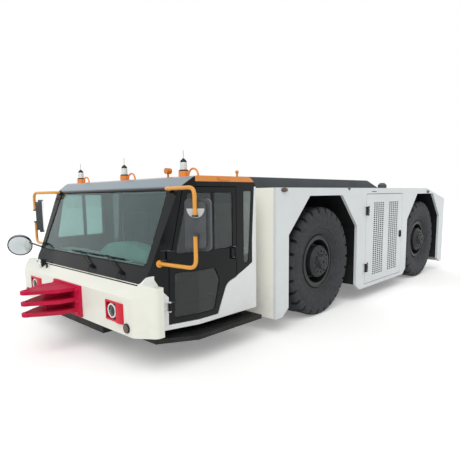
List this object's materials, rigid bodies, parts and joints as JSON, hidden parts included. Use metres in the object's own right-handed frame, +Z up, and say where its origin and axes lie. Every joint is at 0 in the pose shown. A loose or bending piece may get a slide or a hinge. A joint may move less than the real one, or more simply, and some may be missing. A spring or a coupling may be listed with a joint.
{
  "type": "aircraft pushback tractor",
  "caption": "Low towbar pushback tractor with a front cab, flat ballast body, steered wheels on both axles, perforated engine doors and pin hitches front and rear.",
  "frame": {"origin": "on the ground under the middle of the length over both hitches, on the middle line", "axes": "+X forward, +Y to the vehicle's left, +Z up"},
  "size_m": [8.9, 3.6906, 2.17],
  "materials": {
    "chassis_black": "satin",
    "engine_grey": "matte",
    "axle_black": "satin",
    "body_white": "gloss",
    "deck_grey": "matte",
    "liner_black": "matte",
    "cover_grey": "satin",
    "hitch_red": "gloss",
    "lamp_red": "gloss",
    "lamp_lens": "gloss",
    "cab_black": "gloss",
    "roof_orange": "gloss",
    "tinted_glass": "gloss",
    "dash_teal": "matte",
    "trim_black": "matte",
    "seat_cloth": "matte",
    "mirror_grey": "satin",
    "beacon_clear": "gloss",
    "marker_dark": "gloss",
    "tail_red": "gloss",
    "lamp_amber": "gloss",
    "rubber": "matte",
    "wheel_black": "satin"
  },
  "bodies": {
    "chassis": {"chassis_frame": "chassis_black", "engine_block": "engine_grey", "front_axle": "axle_black", "rear_axle": "axle_black", "side_panel_left": "body_white", "side_panel_right": "body_white", "shoulder_bulkhead": "body_white", "tail_panel": "body_white", "deck": "deck_grey", "arch_liners": "liner_black", "deck_cover": "cover_grey", "breather_stub": "cover_grey", "bumper": "body_white", "headlamp_frames": "lamp_red", "headlamps": "lamp_lens", "front_hitch": "hitch_red", "rear_hitch": "hitch_red", "running_boards": "chassis_black", "cab_floor": "chassis_black", "cab_rear_wall": "body_white", "cab_side_panels": "body_white", "cab_corner_panels": "body_white", "cab_frame": "cab_black", "cab_roof": "roof_orange", "windscreen": "tinted_glass", "quarter_windows": "tinted_glass", "dashboard": "dash_teal", "steering_column": "trim_black", "seats": "seat_cloth", "wipers": "trim_black", "mirror_arms": "roof_orange", "mirror_heads": "mirror_grey", "round_mirror": "trim_black", "beacons": "beacon_clear", "beacon_guards": "roof_orange", "marker_lamps": "marker_dark", "tail_lamps": "tail_red", "roof_lamps": "lamp_amber", "ledge_lamp_right": "trim_black"},
    "cab_door_left": {"cab_door_left": "cab_black", "door_glass_left": "tinted_glass"},
    "engine_door_left": {"engine_door_left": "body_white"},
    "cab_door_right": {"cab_door_right": "cab_black", "door_glass_right": "tinted_glass"},
    "engine_door_right": {"engine_door_right": "body_white"},
    "knuckle_front_left": {"knuckle_front_left": "axle_black"},
    "wheel_front_left": {"wheel_front_left": "wheel_black", "tyre_front_left": "rubber"},
    "knuckle_front_right": {"knuckle_front_right": "axle_black"},
    "wheel_front_right": {"wheel_front_right": "wheel_black", "tyre_front_right": "rubber"},
    "knuckle_rear_left": {"knuckle_rear_left": "axle_black"},
    "wheel_rear_left": {"wheel_rear_left": "wheel_black", "tyre_rear_left": "rubber"},
    "knuckle_rear_right": {"knuckle_rear_right": "axle_black"},
    "wheel_rear_right": {"wheel_rear_right": "wheel_black", "tyre_rear_right": "rubber"}
  },
  "joints": [
    {"name": "cab_door_left_hinge", "type": "hinge", "parent": "chassis", "child": "cab_door_left", "pos_m": [3.522, 1.33096, 0.9], "axis": [0, 0, -1], "range_deg": [0, 60]},
    {"name": "engine_door_left_hinge", "type": "hinge", "parent": "chassis", "child": "engine_door_left", "pos_m": [-0.241, 1.542, 0.97], "axis": [0, 0, -1], "range_deg": [0, 105]},
    {"name": "cab_door_right_hinge", "type": "hinge", "parent": "chassis", "child": "cab_door_right", "pos_m": [3.522, -1.33096, 0.9], "axis": [0, 0, 1], "range_deg": [0, 60]},
    {"name": "engine_door_right_hinge", "type": "hinge", "parent": "chassis", "child": "engine_door_right", "pos_m": [-0.241, -1.542, 0.97], "axis": [0, 0, 1], "range_deg": [0, 105]},
    {"name": "steer_front_left", "type": "hinge", "parent": "chassis", "child": "knuckle_front_left", "pos_m": [0.93, 1.04, 0.76], "axis": [0, 0, 1], "range_deg": [-28, 28]},
    {"name": "spin_front_left", "type": "hinge", "parent": "knuckle_front_left", "child": "wheel_front_left", "pos_m": [0.93, 1.24, 0.76], "axis": [0, 1, 0], "continuous": true},
    {"name": "steer_front_right", "type": "hinge", "parent": "chassis", "child": "knuckle_front_right", "pos_m": [0.93, -1.04, 0.76], "axis": [0, 0, 1], "range_deg": [-28, 28]},
    {"name": "spin_front_right", "type": "hinge", "parent": "knuckle_front_right", "child": "wheel_front_right", "pos_m": [0.93, -1.24, 0.76], "axis": [0, 1, 0], "continuous": true},
    {"name": "steer_rear_left", "type": "hinge", "parent": "chassis", "child": "knuckle_rear_left", "pos_m": [-2.78, 1.04, 0.76], "axis": [0, 0, 1], "range_deg": [-28, 28]},
    {"name": "spin_rear_left", "type": "hinge", "parent": "knuckle_rear_left", "child": "wheel_rear_left", "pos_m": [-2.78, 1.24, 0.76], "axis": [0, 1, 0], "continuous": true},
    {"name": "steer_rear_right", "type": "hinge", "parent": "chassis", "child": "knuckle_rear_right", "pos_m": [-2.78, -1.04, 0.76], "axis": [0, 0, 1], "range_deg": [-28, 28]},
    {"name": "spin_rear_right", "type": "hinge", "parent": "knuckle_rear_right", "child": "wheel_rear_right", "pos_m": [-2.78, -1.24, 0.76], "axis": [0, 1, 0], "continuous": true}
  ],
  "couplings": [
    {"joint": "steer_front_right", "follows": "steer_front_left", "ratio": 1},
    {"joint": "steer_rear_right", "follows": "steer_rear_left", "ratio": 1}
  ]
}
